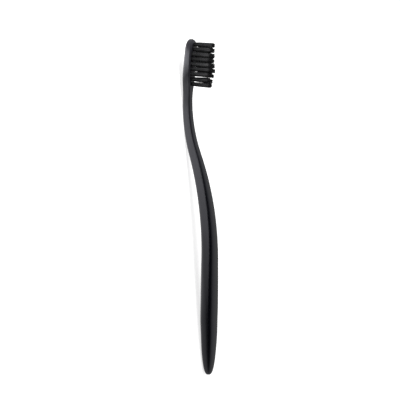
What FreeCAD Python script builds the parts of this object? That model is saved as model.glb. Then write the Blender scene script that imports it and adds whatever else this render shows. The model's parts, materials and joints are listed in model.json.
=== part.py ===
import FreeCAD, Part
import math
import os
from FreeCAD import Placement, Rotation, Vector

# Manual toothbrush that lies on its back with the bristles up: +X towards the toe of the head, +Z up.
# Lengths are in millimetres and angles in degrees.

# Centreline of the moulding: straight grip, bend back, bend forward, straight head
GRIP_STRAIGHT = 65.3
BACK_BEND_RADIUS = 191.0
BACK_BEND_ANGLE = 18.25
NECK_BEND_RADIUS = 96.0
HEAD_LIFT_ANGLE = 3.4

# Sections of the handle: place, width, thickness and squareness (2 is an ellipse, more is squarer)
# The thumb and shank places are shares of the back bend's length
GRIP_AT = 42.0
GRIP_WIDTH = 11.7
GRIP_THICKNESS = 9.1
GRIP_SQUARENESS = 2.7
THUMB_SHARE = 0.366
THUMB_WIDTH = 9.6
THUMB_THICKNESS = 8.15
THUMB_SQUARENESS = 3.1
SHANK_SHARE = 0.766
SHANK_WIDTH = 7.6
SHANK_THICKNESS = 7.05
SHANK_SQUARENESS = 3.6
THROAT_PAST_BEND = 2.0
THROAT_WIDTH = 6.1
THROAT_THICKNESS = 6.0
THROAT_SQUARENESS = 4.3
NECK_BEFORE_HEAD = 3.5
NECK_WIDTH = 5.2
NECK_THICKNESS = 4.8
NECK_SQUARENESS = 4.6
BUTT_TAPER_LENGTH = 40.0
BUTT_BLUNTNESS = 3.0

# Tufts and their holes
TUFTS_PER_ROW = (2, 3, 4, 4, 4, 4, 4, 3, 2)
HOLE_DIAMETER = 1.7
HOLE_DEPTH = 3.2
HOLE_CHAMFER = 0.2
ROW_WEB = 1.12
COLUMN_WEB = 0.6
TUFT_CLEARANCE = 0.08
TUFT_LENGTH = 11.4
TUFT_TIP_GAP = 0.12
TUFT_TIP_CROWN = 0.35
ROOT_GAP = 0.05

# Anchors: flat plates across the holes, which bite into the plastic at both ends
ANCHOR_BITE = 0.2
ANCHOR_THICKNESS = 0.35
FOLD_UNDER_ANCHOR = 0.4
ROOT_OVER_ANCHOR = 0.58

# Head, sized by its tufts
SIDE_WALL = 0.95
TOE_WALL = 2.25
HEEL_WALL = 3.35
FACE_HEIGHT = 2.3
HEAD_BACK_DEPTH = 3.2
TOE_BACK_DEPTH = 2.85
FACE_SQUARENESS = 6.0
HEAD_BACK_SQUARENESS = 2.8
SHOULDER_LENGTH = 11.0
TOE_ROUND_LENGTH = 7.5
TOE_ROUNDNESS = 2.0
TOE_EDGE_LENGTH = 3.0
TOE_EDGE_BLUNTNESS = 2.5
TOE_BACK_LENGTH = 9.0
TOE_BACK_BLUNTNESS = 3.0

# Fineness of the lofted skin
SKIN_STEP = 6.0
END_STEPS = 7
END_FIRST_SHARE = 0.1
QUARTER_POINTS = 8

# Sizes that follow
hole_radius = HOLE_DIAMETER / 2
tuft_radius = hole_radius - TUFT_CLEARANCE
row_pitch = HOLE_DIAMETER + ROW_WEB
column_pitch = HOLE_DIAMETER + COLUMN_WEB
tuft_tip_radius = (min(row_pitch, column_pitch) - TUFT_TIP_GAP) / 2
rows = len(TUFTS_PER_ROW)
head_width = (max(TUFTS_PER_ROW) - 1) * column_pitch + HOLE_DIAMETER + 2 * SIDE_WALL
toe_margin = TOE_WALL + hole_radius
heel_margin = HEEL_WALL + hole_radius
head_length = toe_margin + (rows - 1) * row_pitch + heel_margin
root_height = HOLE_DEPTH - tuft_radius - ROOT_GAP
anchor_width = HOLE_DIAMETER + 2 * ANCHOR_BITE
anchor_height = root_height - FOLD_UNDER_ANCHOR - ROOT_OVER_ANCHOR

# Places along the centreline, measured from the butt end
back_bend_turn = math.radians(BACK_BEND_ANGLE)
neck_bend_turn = math.radians(BACK_BEND_ANGLE + HEAD_LIFT_ANGLE)
back_bend_length = BACK_BEND_RADIUS * back_bend_turn
back_bend_end = GRIP_STRAIGHT + back_bend_length
neck_bend_end = back_bend_end + NECK_BEND_RADIUS * neck_bend_turn
toe_at = neck_bend_end + head_length
section_places = [
    GRIP_AT,
    GRIP_STRAIGHT + THUMB_SHARE * back_bend_length,
    GRIP_STRAIGHT + SHANK_SHARE * back_bend_length,
    back_bend_end + THROAT_PAST_BEND,
    neck_bend_end - NECK_BEFORE_HEAD,
    neck_bend_end + SHOULDER_LENGTH,
    toe_at - TOE_ROUND_LENGTH,
]


def centreline(distance):
    """Point of the centreline at a distance from the butt end, and its angle above the grip's axis."""
    along = min(distance, GRIP_STRAIGHT)
    x, z = along, 0.0
    turn = min(max(distance - GRIP_STRAIGHT, 0.0) / BACK_BEND_RADIUS, back_bend_turn)
    x += BACK_BEND_RADIUS * math.sin(turn)
    z -= BACK_BEND_RADIUS * (1 - math.cos(turn))
    lift = min(max(distance - back_bend_end, 0.0) / NECK_BEND_RADIUS, neck_bend_turn)
    x += NECK_BEND_RADIUS * (math.sin(turn) - math.sin(turn - lift))
    z -= NECK_BEND_RADIUS * (math.cos(turn - lift) - math.cos(turn))
    angle = lift - turn
    straight = max(distance - neck_bend_end, 0.0)
    x += straight * math.cos(angle)
    z += straight * math.sin(angle)
    return Vector(x, 0, z), angle


def slopes(places, values):
    """Slopes at the places that keep a cubic through the values from overshooting."""
    chords = [(b - a) / (q - p) for p, q, a, b in zip(places, places[1:], values, values[1:])]
    inner = [2 * a * b / (a + b) if a * b > 0 else 0.0 for a, b in zip(chords, chords[1:])]
    return [0.0] + inner + [0.0]


def smooth(distance, places, values):
    """Value at a distance on a smooth curve through the values, level beyond both ends."""
    if distance <= places[0]:
        return values[0]
    for i, (start, end) in enumerate(zip(places, places[1:])):
        if distance <= end:
            step = end - start
            t = (distance - start) / step
            slope = slopes(places, values)
            rise = values[i + 1] - values[i]
            ease = 3 * t**2 - 2 * t**3
            return values[i] + rise * ease + step * t * (1 - t) * ((1 - t) * slope[i] - t * slope[i + 1])
    return values[-1]


def closure(distance, length, bluntness):
    """Share of the full section that is left at a distance from a rounded end."""
    inward = max(1 - distance / length, 0.0)
    return (1 - inward**2) ** (1 / bluntness)


def section_sizes(distance):
    """Half width, front height, back depth and the squareness of front and back at a distance."""
    places = section_places
    widths = [GRIP_WIDTH, THUMB_WIDTH, SHANK_WIDTH, THROAT_WIDTH, NECK_WIDTH, head_width, head_width]
    thick = [GRIP_THICKNESS, THUMB_THICKNESS, SHANK_THICKNESS, THROAT_THICKNESS, NECK_THICKNESS]
    halves = [thickness / 2 for thickness in thick]
    squares = [GRIP_SQUARENESS, THUMB_SQUARENESS, SHANK_SQUARENESS, THROAT_SQUARENESS, NECK_SQUARENESS]
    half_width = smooth(distance, places, widths) / 2
    front = smooth(distance, places, halves + [FACE_HEIGHT, FACE_HEIGHT])
    back = smooth(distance, places, halves + [HEAD_BACK_DEPTH, TOE_BACK_DEPTH])
    front_square = smooth(distance, places, squares + [FACE_SQUARENESS, FACE_SQUARENESS])
    back_square = smooth(distance, places, squares + [HEAD_BACK_SQUARENESS, HEAD_BACK_SQUARENESS])
    butt = closure(distance, BUTT_TAPER_LENGTH, BUTT_BLUNTNESS)
    side = butt * closure(toe_at - distance, TOE_ROUND_LENGTH, TOE_ROUNDNESS)
    face_edge = butt * closure(toe_at - distance, TOE_EDGE_LENGTH, TOE_EDGE_BLUNTNESS)
    back_edge = butt * closure(toe_at - distance, TOE_BACK_LENGTH, TOE_BACK_BLUNTNESS)
    return half_width * side, front * face_edge, back * back_edge, front_square, back_square


def section_wire(distance):
    """Closed curve round the moulding, square to the centreline, as a front and a back half."""
    centre, angle = centreline(distance)
    up = Vector(-math.sin(angle), 0, math.cos(angle))
    half_width, front, back, front_square, back_square = section_sizes(distance)
    points = []
    for i in range(4 * QUARTER_POINTS):
        turn = math.pi / 2 * i / QUARTER_POINTS
        across, rise = math.cos(turn), math.sin(turn)
        height, square = (front, front_square) if rise >= 0 else (back, back_square)
        reach = (abs(across) ** square + abs(rise) ** square) ** (-1 / square)
        points.append(centre + Vector(0, half_width * reach * across, 0) + up * (height * reach * rise))
    curve = Part.BSplineCurve()
    even_steps = [float(i) for i in range(len(points) + 1)]
    curve.interpolate(Points=points, PeriodicFlag=True, Parameters=even_steps)
    halves = []
    for start in (0, 2 * QUARTER_POINTS):
        half = curve.copy()
        half.segment(even_steps[start], even_steps[start + 2 * QUARTER_POINTS])
        halves.append(half.toShape())
    return Part.Wire(halves)


def skin_places():
    """Distances of the skin's sections, which pass every named one and crowd at the two round ends."""
    shares = [END_FIRST_SHARE + (1 - END_FIRST_SHARE) * i / END_STEPS for i in range(END_STEPS + 1)]
    butt = [BUTT_TAPER_LENGTH * share**BUTT_BLUNTNESS for share in shares]
    toe = [toe_at - TOE_ROUND_LENGTH * share**TOE_EDGE_BLUNTNESS for share in reversed(shares)]
    named = [place for place in section_places if butt[-1] + SKIN_STEP / 2 < place < toe[0]]
    between = []
    for start, end in zip([butt[-1]] + named, named + [toe[0]]):
        steps = math.ceil((end - start) / SKIN_STEP)
        between += [start + (end - start) * i / steps for i in range(1, steps + 1)]
    return butt + between + toe[1:]


def head_placement():
    """Placement of the head's face: origin at its toe end, x towards the toe and z out of the face."""
    toe, angle = centreline(toe_at)
    turn = Rotation(Vector(0, 1, 0), -math.degrees(angle))
    return Placement(toe + turn.multVec(Vector(0, 0, FACE_HEIGHT)), turn)


def row_place(row):
    """Distance of a row of tufts behind the toe, as a place on the face's x axis."""
    return -(toe_margin + row * row_pitch)


def row_columns(row):
    """Places of a row's tufts across the face."""
    count = TUFTS_PER_ROW[row]
    return [(column - (count - 1) / 2) * column_pitch for column in range(count)]


def tuft_places():
    """Every tuft's root on the face, row by row from the toe."""
    return [[Vector(row_place(row), y, 0) for y in row_columns(row)] for row in range(rows)]


def on_face(shape, root):
    """Copy of a shape made at the origin, moved to a tuft's root on the face."""
    moved = shape.copy()
    moved.Placement = head_placement().multiply(Placement(root, Rotation()))
    return moved


def hole():
    """Tuft hole with a chamfered mouth, as the space that is cut away."""
    drill = Part.makeCylinder(hole_radius, HOLE_DEPTH + HOLE_CHAMFER, Vector(0, 0, -HOLE_DEPTH))
    flare = 2 * HOLE_CHAMFER
    mouth = Part.makeCone(hole_radius, hole_radius + flare, flare, Vector(0, 0, -HOLE_CHAMFER))
    return drill.fuse(mouth)


def anchor():
    """Flat metal plate, set lengthwise across the hole, over the fold of the filaments."""
    low = Vector(-anchor_width / 2, -ANCHOR_THICKNESS / 2, FOLD_UNDER_ANCHOR - HOLE_DEPTH)
    return Part.makeBox(anchor_width, ANCHOR_THICKNESS, anchor_height, low)


def tuft_root():
    """Folded root of a tuft, which fills its hole round the anchor."""
    return Part.makeCylinder(tuft_radius, root_height, Vector(0, 0, -HOLE_DEPTH)).cut(anchor())


def free_tuft():
    """Free length of a tuft: round at the root, where it leans, and flared to its trimmed tip."""
    shoulder = Vector(tuft_tip_radius, 0, TUFT_LENGTH - TUFT_TIP_CROWN)
    tip = Vector(0, 0, TUFT_LENGTH)
    crown_radius = (tuft_tip_radius**2 + TUFT_TIP_CROWN**2) / (2 * TUFT_TIP_CROWN)
    crown_mid = Vector(tuft_tip_radius / 2, 0, 0)
    crown_mid.z = TUFT_LENGTH - crown_radius + math.sqrt(crown_radius**2 - crown_mid.x**2)
    bottom = Vector(0, 0, -tuft_radius)
    side = Vector(tuft_radius, 0, 0)
    bottom_mid = Vector(tuft_radius * math.sin(math.pi / 4), 0, -tuft_radius * math.cos(math.pi / 4))
    outline = [
        Part.Arc(bottom, bottom_mid, side).toShape(),
        Part.LineSegment(side, shoulder).toShape(),
        Part.Arc(shoulder, crown_mid, tip).toShape(),
        Part.LineSegment(tip, bottom).toShape(),
    ]
    return Part.Face(Part.Wire(outline)).revolve(Vector(), Vector(0, 0, 1), 360)


def head_room():
    """Space round the head alone, from the end of the neck to past the toe."""
    low = Vector(-head_length, -head_width, -head_width)
    room = Part.makeBox(2 * head_length, 2 * head_width, 2 * head_width, low)
    room.Placement = head_placement()
    return room


def handle():
    """One moulding of grip, neck and head, with the tuft holes and the slots that the anchors cut."""
    body = Part.makeLoft([section_wire(place) for place in skin_places()], True, False)
    socket = hole().fuse(anchor())
    sockets = [on_face(socket, root) for row in tuft_places() for root in row]
    head = body.common(head_room()).cut(sockets)
    return body.cut(head_room()).fuse(head).Solids[0]


def rest_turn(centre_x):
    """Angle that lays the back of the handle level on the two places where it touches a table."""
    under = []
    for place in skin_places():
        centre, angle = centreline(place)
        back = section_sizes(place)[2]
        point = centre + Vector(math.sin(angle), 0, -math.cos(angle)) * back
        while len(under) > 1 and (under[-1] - under[-2]).cross(point - under[-2]).y >= 0:
            under.pop()
        under.append(point)
    for first, second in zip(under, under[1:]):
        if first.x <= centre_x <= second.x:
            return math.degrees(math.atan2(second.z - first.z, second.x - first.x))


def make_pieces():
    """Every node of the brush by name, in the frame of the grip's axis."""
    pieces = {"handle": handle()}
    places = tuft_places()
    pieces["tuft_anchors"] = Part.makeCompound([on_face(anchor(), root) for row in places for root in row])
    for row, roots in enumerate(places, 1):
        pieces[f"tuft_roots_row{row}"] = Part.makeCompound([on_face(tuft_root(), root) for root in roots])
        for column, root in enumerate(roots, 1):
            pieces[f"tuft_row{row}_{column}"] = on_face(free_tuft(), root)
    return pieces


def rest_placement(pieces):
    """Placement that lays the brush on its back, with the origin under the middle of its box."""
    turn = Rotation(Vector(0, 1, 0), rest_turn(pieces["handle"].CenterOfMass.x))
    laid = Part.makeCompound(list(pieces.values()))
    laid.Placement = Placement(Vector(), turn)
    box = laid.optimalBoundingBox(False, False)
    return Placement(Vector(-box.Center.x, -box.Center.y, -box.ZMin), turn)


pieces = make_pieces()
rest = rest_placement(pieces)
os.makedirs("parts", exist_ok=True)
for name, piece in pieces.items():
    piece.Placement = rest.multiply(piece.Placement)
    piece.exportStep(f"parts/{name}.step")
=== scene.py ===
import json
import math
import random

import bpy
from mathutils import Matrix, Vector


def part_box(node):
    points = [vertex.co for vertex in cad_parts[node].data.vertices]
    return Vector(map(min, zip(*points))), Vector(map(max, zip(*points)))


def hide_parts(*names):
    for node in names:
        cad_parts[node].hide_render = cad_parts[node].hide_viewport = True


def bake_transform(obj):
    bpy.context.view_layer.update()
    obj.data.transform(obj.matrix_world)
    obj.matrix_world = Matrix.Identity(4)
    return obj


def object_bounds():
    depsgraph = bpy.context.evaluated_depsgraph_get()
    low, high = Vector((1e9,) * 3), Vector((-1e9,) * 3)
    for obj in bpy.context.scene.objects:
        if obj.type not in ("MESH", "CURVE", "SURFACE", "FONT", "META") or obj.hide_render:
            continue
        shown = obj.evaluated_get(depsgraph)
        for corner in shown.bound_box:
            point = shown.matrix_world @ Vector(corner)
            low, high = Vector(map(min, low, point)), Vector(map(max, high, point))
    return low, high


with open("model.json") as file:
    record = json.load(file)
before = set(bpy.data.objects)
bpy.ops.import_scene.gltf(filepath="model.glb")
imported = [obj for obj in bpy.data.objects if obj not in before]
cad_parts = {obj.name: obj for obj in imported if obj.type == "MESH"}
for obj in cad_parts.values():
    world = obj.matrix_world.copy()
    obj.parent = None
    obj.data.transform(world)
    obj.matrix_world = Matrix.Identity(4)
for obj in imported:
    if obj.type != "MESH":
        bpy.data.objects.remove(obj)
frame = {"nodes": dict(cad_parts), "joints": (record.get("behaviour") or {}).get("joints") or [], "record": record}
cad_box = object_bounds()

# Lengths are in metres and angles in degrees. Colours are linear.
MM = 0.001
BLACK = (0.0, 0.0, 0.0)

# Camera on the +Y side, with the toe of the brush at the top of the picture
CAMERA_RISE = 20.0
CAMERA_ROLL = 0.64
CAMERA_DISTANCE = 960 * MM
CAMERA_NEAREST = 10 * MM
SENSOR_WIDTH_IN_MM = 36.0
PICTURE_WIDTH = 226.9 * MM
AIM_RIGHT = -4.95 * MM
AIM_UP = 3.156 * MM

# Plastic of the handle, with pairs of values for the grip and the head; the paler head tone is painted light
# Range along the brush over which the handle turns paler, a painted light, and duller
PAINTED_LIGHT_AND_DULLING_RANGE = (-20 * MM, 50 * MM)
HANDLE_TONES = ((0.0021, 0.0023, 0.0042), (0.008, 0.0081, 0.0102))
HANDLE_ROUGHNESS = (0.21, 0.32)
HANDLE_GLOSS = (0.56, 0.61)
HANDLE_GLOSS_TINT = (0.92, 0.92, 1.0, 1.0)
HANDLE_IOR = 1.49
SCUFFS = {"scale": 900.0, "detail": 6.0, "roughness": 0.7}
SCUFF_RANGE = (0.35, 0.75)
SCUFF_DULLING = (-0.2, 0.45)
SMEARS = {"scale": 55.0}
SMEAR_RANGE = (0.3, 0.7)
SMEAR_DULLING = (-0.3, 0.3)
GRAIN = {"scale": 3800.0, "detail": 2.0}
GRAIN_STRENGTH = 0.12
GRAIN_DEPTH = 0.02 * MM

# Nylon of the filaments, with pairs of values for a dark and a pale tone; the tone between them carries painted
# shade, which dims the gloss too
BRISTLE_TONES = ((0.002, 0.002, 0.0023), (0.07, 0.07, 0.073))
BRISTLE_GLOSS = (0.04, 0.3)
BRISTLE_IOR = 1.53
STREAKS = {"scale": 2500.0}
STREAK_RANGE = (0.3, 0.7)
STREAK_ROUGHNESS = (0.28, 0.45)

# Brass of the anchors
BRASS_TONES = ((0.55, 0.40, 0.17), (0.76, 0.60, 0.30))
BRASS_PATCHES = {"scale": 1500.0}
BRASS_ROUGHNESS = (0.25, 0.5)

# Filaments of a tuft
FILAMENTS = 84
FILAMENT_RADIUS = 0.09 * MM
FILAMENT_TIP_SHARE = 0.6
FILAMENT_SIDES = 5
FILAMENT_STEPS = 10
FILAMENT_SINK = 0.5 * MM
GOLDEN_TURN = math.pi * (3 - math.sqrt(5))
CORE_POWER = 0.38

# Shape of a tuft, and of each row from the toe to the heel
ROOT_SPREAD = 0.75 * MM
TIP_SPREAD = 1.18 * MM
SPLAY_POWER = 8.0
GATHER_POWER = 9.0
ROW_BELLIES = [mm * MM for mm in (1.3, 1.58, 1.58, 1.58, 1.58, 1.38, 1.33, 1.28, 1.25)]
ROW_DROOPS = [mm * MM for mm in (0.1, 0.2, 0.35, 0.35, 0.35, 0.2, 0.1, 0.5, 0.35)]
ROW_TRIMS = [mm * MM for mm in (0.0, -0.4, -0.5, -0.5, 0.0, 0.2, -0.3, -0.4, -0.15)]
EDGE_SLIMNESS = 0.8
EDGE_FROM_MIDDLE = 2.0 * MM
TIP_STRAY = 0.1 * MM
TRIM_UNEVEN = 0.4 * MM
TUFT_LEAN = 0.14 * MM

# Tone along a filament, all painted shade: darker towards the root, on the toe and heel sides of each tuft where
# the rows meet, and at the tip
TIP_PALING = 0.6
SIDE_SHADE = 0.85
SIDE_POWER = 3.0
TIP_DARK_FROM = 0.9

# Floor, and its mirror image in the plastic: how bright it is along the brush, how it fades sideways,
# and which share of it stays whole along the brush
FLOOR_SIZE = 12.0
FLOOR_GLOW = 0.74
FLOOR_TONE = (0.6, 0.6, 0.6)
FLOOR_ROUGHNESS = 0.9
MIRROR_TONES = (
    (-90 * MM, 0.8),
    (-65 * MM, 0.88),
    (-45 * MM, 1.35),
    (-20 * MM, 1.25),
    (0 * MM, 1.55),
    (35 * MM, 2.1),
    (54 * MM, 2.1),
    (71 * MM, 1.1),
    (84 * MM, 3.9),
    (91 * MM, 3.7),
    (98 * MM, 0.8),
)
MIRROR_FADE_RANGE = (6 * MM, 30 * MM)
MIRROR_FADE_TO = 0.1
MIRROR_WHOLE = (
    (-80 * MM, 0.0),
    (-10 * MM, 1.0),
    (58 * MM, 1.0),
    (68 * MM, 0.1),
    (76 * MM, 0.1),
    (84 * MM, 1.0),
)

# Lamps by name: place, aim, width, height and power in watts
LAMPS = {
    "toe_lamp": ((0.2, 0.05, 0.11), (0.05, 0.0, 0.0), 0.1, 0.1, 0.6),
    "butt_lamp": ((-0.9, 0.0, 0.7), (0.0, 0.0, 0.0), 1.2, 0.6, 3.0),
}

# Brightness of the studio walls, from the far side at -1 to the camera's side at 1
WALL_TONES = (
    (-1.0, 0.22),
    (-0.76, 0.28),
    (-0.34, 0.57),
    (0.1, 0.65),
    (0.44, 0.57),
    (0.72, 0.29),
    (0.9, 0.04),
    (1.0, 0.0),
)


def node(tree, kind, **values):
    """New shader node, with its input sockets set by name."""
    made = tree.nodes.new(kind)
    for name, value in values.items():
        made.inputs[name.replace("_", " ")].default_value = value
    return made


def object_place(tree):
    """Place in object space."""
    return tree.nodes.new("ShaderNodeTexCoord").outputs["Object"]


def coordinate(tree, place, axis):
    """One coordinate of a place."""
    parts = tree.nodes.new("ShaderNodeSeparateXYZ")
    tree.links.new(place, parts.inputs["Vector"])
    return parts.outputs[axis]


def noise(tree, place, scale, detail=4.0, roughness=0.5):
    """Noise texture at a place."""
    made = node(tree, "ShaderNodeTexNoise", Scale=scale, Detail=detail, Roughness=roughness)
    tree.links.new(place, made.inputs["Vector"])
    return made.outputs["Fac"]


def spread(tree, value, low, high, start=0.0, end=1.0):
    """Value from start to end, mapped to the range from low to high."""
    made = node(tree, "ShaderNodeMapRange", From_Min=start, From_Max=end, To_Min=low, To_Max=high)
    tree.links.new(value, made.inputs["Value"])
    return made.outputs["Result"]


def combined(tree, operation, first, second):
    """Two values put through an operation of the Math node."""
    made = tree.nodes.new("ShaderNodeMath")
    made.operation = operation
    tree.links.new(first, made.inputs[0])
    tree.links.new(second, made.inputs[1])
    return made.outputs["Value"]


def tone_along(tree, value, tones):
    """Grey tone at a value, read between pairs of place and tone."""
    first, last = tones[0][0], tones[-1][0]
    made = tree.nodes.new("ShaderNodeValToRGB")
    while len(made.color_ramp.elements) < len(tones):
        made.color_ramp.elements.new(0.5)
    for element, (place, tone) in zip(made.color_ramp.elements, tones):
        element.position = (place - first) / (last - first)
        element.color = (tone, tone, tone, 1)
    tree.links.new(spread(tree, value, 0.0, 1.0, first, last), made.inputs["Fac"])
    return made.outputs["Color"]


def colour_mix(tree, share, dark, light):
    """Colour between two tones, by a share."""
    made = tree.nodes.new("ShaderNodeMix")
    made.data_type = "RGBA"
    made.inputs["A"].default_value = (*dark, 1)
    made.inputs["B"].default_value = (*light, 1)
    tree.links.new(share, made.inputs["Factor"])
    return made.outputs["Result"]


def blank_material(name):
    """Material with one Principled shader: the material, its tree and that shader."""
    material = bpy.data.materials.new(name)
    material.use_nodes = True
    return material, material.node_tree, material.node_tree.nodes["Principled BSDF"]


def handle_plastic():
    """Near-black satin plastic with a fine moulded grain, duller towards the head, where painted light also makes
    it paler.
    """
    material, tree, shader = blank_material("handle_plastic_look")
    place = object_place(tree)
    headward = spread(tree, coordinate(tree, place, "X"), 0, 1, *PAINTED_LIGHT_AND_DULLING_RANGE)
    scuffs = spread(tree, noise(tree, place, **SCUFFS), *SCUFF_DULLING, *SCUFF_RANGE)
    # Base colour paler towards the head, a painted light, with random scuffs on top
    dulled = combined(tree, "ADD", headward, scuffs)
    tree.links.new(colour_mix(tree, dulled, *HANDLE_TONES), shader.inputs["Base Color"])
    smears = spread(tree, noise(tree, place, **SMEARS), *SMEAR_DULLING, *SMEAR_RANGE)
    worn = combined(tree, "ADD", headward, smears)
    tree.links.new(spread(tree, worn, *HANDLE_ROUGHNESS), shader.inputs["Roughness"])
    tree.links.new(spread(tree, headward, *HANDLE_GLOSS), shader.inputs["Specular IOR Level"])
    shader.inputs["Specular Tint"].default_value = HANDLE_GLOSS_TINT
    shader.inputs["IOR"].default_value = HANDLE_IOR
    bump = node(tree, "ShaderNodeBump", Strength=GRAIN_STRENGTH, Distance=GRAIN_DEPTH)
    tree.links.new(noise(tree, place, **GRAIN), bump.inputs["Height"])
    tree.links.new(bump.outputs["Normal"], shader.inputs["Normal"])
    return material


def bristle_nylon():
    """Black nylon filaments, each with a tone of its own and painted shade, which also dims their gloss."""
    material, tree, shader = blank_material("bristle_nylon_look")
    attribute = tree.nodes.new("ShaderNodeAttribute")
    attribute.attribute_name = "tone"
    tone = attribute.outputs["Fac"]
    streaks = noise(tree, object_place(tree), **STREAKS)
    roughness = spread(tree, streaks, *STREAK_ROUGHNESS, *STREAK_RANGE)
    # The tone brings painted shade into the colour and the gloss
    tree.links.new(colour_mix(tree, tone, *BRISTLE_TONES), shader.inputs["Base Color"])
    tree.links.new(roughness, shader.inputs["Roughness"])
    tree.links.new(spread(tree, tone, *BRISTLE_GLOSS), shader.inputs["Specular IOR Level"])
    shader.inputs["IOR"].default_value = BRISTLE_IOR
    return material


def anchor_metal():
    """Stamped brass of the anchor plates, dulled in places."""
    material, tree, shader = blank_material("anchor_metal_look")
    dulled = noise(tree, object_place(tree), **BRASS_PATCHES)
    tree.links.new(colour_mix(tree, dulled, *BRASS_TONES), shader.inputs["Base Color"])
    tree.links.new(spread(tree, dulled, *BRASS_ROUGHNESS), shader.inputs["Roughness"])
    shader.inputs["Metallic"].default_value = 1.0
    return material


def white_floor():
    """White floor that keeps the shadow, with a mirror image that has its own tones."""
    material, tree, shader = blank_material("floor_white")
    shader.inputs["Roughness"].default_value = FLOOR_ROUGHNESS
    shader.inputs["Specular IOR Level"].default_value = 0.0
    shader.inputs["Emission Color"].default_value = (1, 1, 1, 1)
    place = object_place(tree)
    along = coordinate(tree, place, "X")
    near = spread(tree, coordinate(tree, place, "Y"), 1.0, MIRROR_FADE_TO, *MIRROR_FADE_RANGE)
    whole = tone_along(tree, along, MIRROR_WHOLE)
    bright = combined(tree, "MAXIMUM", near, whole)
    mirror = combined(tree, "MULTIPLY", bright, tone_along(tree, along, MIRROR_TONES))
    path = tree.nodes.new("ShaderNodeLightPath")
    lit = colour_mix(tree, path.outputs["Is Glossy Ray"], FLOOR_TONE, BLACK)
    tree.links.new(lit, shader.inputs["Base Color"])
    mirrored = combined(tree, "MULTIPLY", path.outputs["Is Glossy Ray"], mirror)
    seen = spread(tree, path.outputs["Is Camera Ray"], 0.0, FLOOR_GLOW)
    tree.links.new(combined(tree, "MAXIMUM", seen, mirrored), shader.inputs["Emission Strength"])
    return material


def head_axes():
    """Directions along the rows of the head towards the toe, across it and out of its face."""
    rows = [Vector(joint["pos_m"]) for joint in frame["joints"]]
    along = (rows[0] - rows[-1]).normalized()
    across = Vector((0, 1, 0))
    return along, across, along.cross(across)


def tuft_reach(t, belly):
    """Radius of a tuft at a share of its length: it fans out of its hole and gathers at the tip."""
    fanned = 1 - (1 - t) ** SPLAY_POWER
    gathered = t ** GATHER_POWER
    return ROOT_SPREAD + (belly - ROOT_SPREAD) * fanned - (belly - TIP_SPREAD) * gathered


def filament_line(chance, share, turn, length, belly):
    """Points of a filament as (along, across, out) from the tuft's root."""
    stray = [chance.gauss(0, TIP_STRAY) for _ in range(2)]
    points = []
    for step in range(FILAMENT_STEPS + 1):
        t = step / FILAMENT_STEPS
        reach = share * tuft_reach(t, belly)
        points.append((
            reach * math.cos(turn) + stray[0] * t,
            reach * math.sin(turn) + stray[1] * t,
            -FILAMENT_SINK + (length + FILAMENT_SINK) * t,
        ))
    return points


def filament_tone_and_painted_shade(own_tone, sideways, t):
    """Tone at a share of a filament's length, with painted shade: paler outwards so darker at the root, and dark
    between rows and at the tip.
    """
    # Painted shade between rows and a painted dark tip
    shaded = 1 - SIDE_SHADE * abs(sideways) ** SIDE_POWER
    tip = min((1 - t) / (1 - TIP_DARK_FROM), 1.0)
    return (own_tone + TIP_PALING * t) * shaded * tip


def add_tube(points, vertices, faces):
    """Round tube along the points, narrower at its tip."""
    first = len(vertices)
    last = len(points) - 1
    for i, (x, y, z) in enumerate(points):
        radius = FILAMENT_RADIUS * (FILAMENT_TIP_SHARE if i == last else 1.0)
        for side in range(FILAMENT_SIDES):
            turn = 2 * math.pi * side / FILAMENT_SIDES
            vertices.append((x + radius * math.cos(turn), y + radius * math.sin(turn), z))
    for i in range(last):
        ring = first + i * FILAMENT_SIDES
        above = ring + FILAMENT_SIDES
        for side in range(FILAMENT_SIDES):
            beside = (side + 1) % FILAMENT_SIDES
            faces.append((ring + side, ring + beside, above + beside, above + side))
    top = first + last * FILAMENT_SIDES
    faces.append(tuple(range(top, top + FILAMENT_SIDES)))


def tuft_bristles(name, root, length, belly, droop, material):
    """Bundle of filaments that stands for one tuft."""
    chance = random.Random(name)
    along, across, out = head_axes()
    lean = [chance.gauss(0, TUFT_LEAN) for _ in range(2)]
    lean[0] -= droop
    vertices, faces, tones = [], [], []
    for i in range(FILAMENTS):
        share = ((i + 0.5) / FILAMENTS) ** CORE_POWER
        turn = i * GOLDEN_TURN
        long = length + chance.uniform(-TRIM_UNEVEN, TRIM_UNEVEN)
        line = filament_line(chance, share, turn, long, belly)
        line = [(a + lean[0] * (o / length), c + lean[1] * (o / length), o) for a, c, o in line]
        add_tube(line, vertices, faces)
        own_tone = chance.random() * (1 - TIP_PALING)
        # Filaments on the toe and heel sides of a tuft get painted shade, where the rows meet
        sideways = share * math.cos(turn)
        for step in range(FILAMENT_STEPS + 1):
            tones += [filament_tone_and_painted_shade(own_tone, sideways, step / FILAMENT_STEPS)] * FILAMENT_SIDES
    placed = [root + along * a + across * c + out * o for a, c, o in vertices]
    mesh = bpy.data.meshes.new(name)
    mesh.from_pydata(placed, [], faces)
    # The tone attribute holds each filament's own random tone with painted shade on it
    mesh.attributes.new("tone", "FLOAT", "POINT").data.foreach_set("value", tones)
    mesh.shade_smooth()
    mesh.materials.append(material)
    bristles = bpy.data.objects.new(name, mesh)
    bpy.context.scene.collection.objects.link(bristles)
    return bristles


def add_bristles(material):
    """Filaments in place of every plain tuft, shaped by its row."""
    out = head_axes()[2]
    for joint, belly, droop, trim in zip(frame["joints"], ROW_BELLIES, ROW_DROOPS, ROW_TRIMS):
        row = joint["child"]
        for tuft in frame["record"]["behaviour"]["bodies"][row]:
            low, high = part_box(tuft)
            root = Vector(joint["pos_m"])
            root.y = (low.y + high.y) / 2
            vertices = frame["nodes"][tuft].data.vertices
            length = trim + max((vertex.co - root).dot(out) for vertex in vertices)
            slimness = EDGE_SLIMNESS if abs(root.y) > EDGE_FROM_MIDDLE else 1.0
            name = tuft.replace("tuft", "bristles")
            bristles = tuft_bristles(name, root, length, belly * slimness, droop, material)
            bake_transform(bristles)
            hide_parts(tuft)


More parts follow.
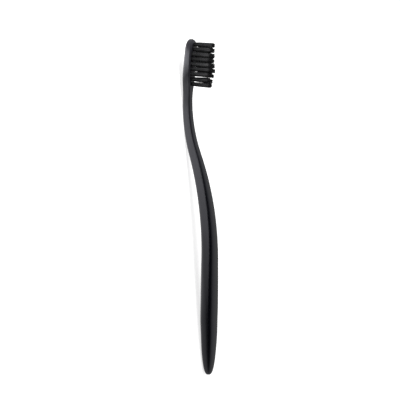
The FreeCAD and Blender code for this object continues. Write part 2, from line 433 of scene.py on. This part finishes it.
def paint_cad_nodes(looks):
    """The finished look of each slot on the CAD nodes that have it."""
    for part in frame["record"]["subparts"]:
        mesh = frame["nodes"][part["node"]].data
        mesh.materials.clear()
        mesh.materials.append(looks[part["material_slot"]])


def add_floor():
    """White floor under the brush."""
    bpy.ops.mesh.primitive_plane_add(size=FLOOR_SIZE)
    floor = bpy.context.object
    floor.name = "floor"
    floor.data.materials.append(white_floor())


def add_lamp(name, place, aim, width, height, power):
    """Soft rectangular lamp that points at a place, and lights without a mirror image of itself."""
    data = bpy.data.lights.new(name, "AREA")
    data.shape = "RECTANGLE"
    data.size = width
    data.size_y = height
    data.energy = power
    lamp = bpy.data.objects.new(name, data)
    lamp.location = place
    lamp.visible_camera = False
    lamp.visible_glossy = False
    lamp.rotation_euler = (Vector(aim) - Vector(place)).to_track_quat("-Z", "Y").to_euler()
    bpy.context.scene.collection.objects.link(lamp)


def camera_axes():
    """Right, up and backward directions of the camera, before its roll."""
    grip = next(mount for mount in frame["record"]["mounts"] if mount["name"] == "grip")
    rise = math.radians(CAMERA_RISE)
    up = -Vector(grip["axis"])
    side = Vector((0, 1, 0))
    front = up.cross(side)
    right = front * math.cos(rise) - side * math.sin(rise)
    backward = side * math.cos(rise) + front * math.sin(rise)
    return right, up, backward


def add_camera():
    """Camera of the photo, with a long lens."""
    right, up, backward = camera_axes()
    roll = math.radians(CAMERA_ROLL)
    turned_right = right * math.cos(roll) + up * math.sin(roll)
    turned_up = up * math.cos(roll) - right * math.sin(roll)
    aim = (cad_box[0] + cad_box[1]) / 2 + turned_right * AIM_RIGHT + turned_up * AIM_UP
    data = bpy.data.cameras.new("camera")
    data.sensor_width = SENSOR_WIDTH_IN_MM
    data.lens = SENSOR_WIDTH_IN_MM * CAMERA_DISTANCE / PICTURE_WIDTH
    data.clip_start = CAMERA_NEAREST
    camera = bpy.data.objects.new("camera", data)
    turn = Matrix((turned_right, turned_up, backward)).transposed()
    camera.matrix_world = Matrix.Translation(aim + backward * CAMERA_DISTANCE) @ turn.to_4x4()
    bpy.context.scene.collection.objects.link(camera)
    bpy.context.scene.camera = camera


def studio_world():
    """Dim studio walls, dark on the camera's side."""
    world = bpy.data.worlds.new("studio")
    bpy.context.scene.world = world
    world.use_nodes = True
    tree = world.node_tree
    direction = tree.nodes.new("ShaderNodeTexCoord").outputs["Generated"]
    facing = tree.nodes.new("ShaderNodeVectorMath")
    facing.operation = "DOT_PRODUCT"
    tree.links.new(direction, facing.inputs[0])
    facing.inputs[1].default_value = camera_axes()[2]
    tone = tone_along(tree, facing.outputs["Value"], WALL_TONES)
    tree.links.new(tone, tree.nodes["Background"].inputs["Color"])


looks = {
    "handle_plastic": handle_plastic(),
    "bristle_nylon": bristle_nylon(),
    "anchor_metal": anchor_metal(),
}
paint_cad_nodes(looks)
add_bristles(looks["bristle_nylon"])
add_floor()
studio_world()
for lamp_name, lamp_values in LAMPS.items():
    add_lamp(lamp_name, *lamp_values)
add_camera()
bpy.context.scene.view_settings.view_transform = "Standard"
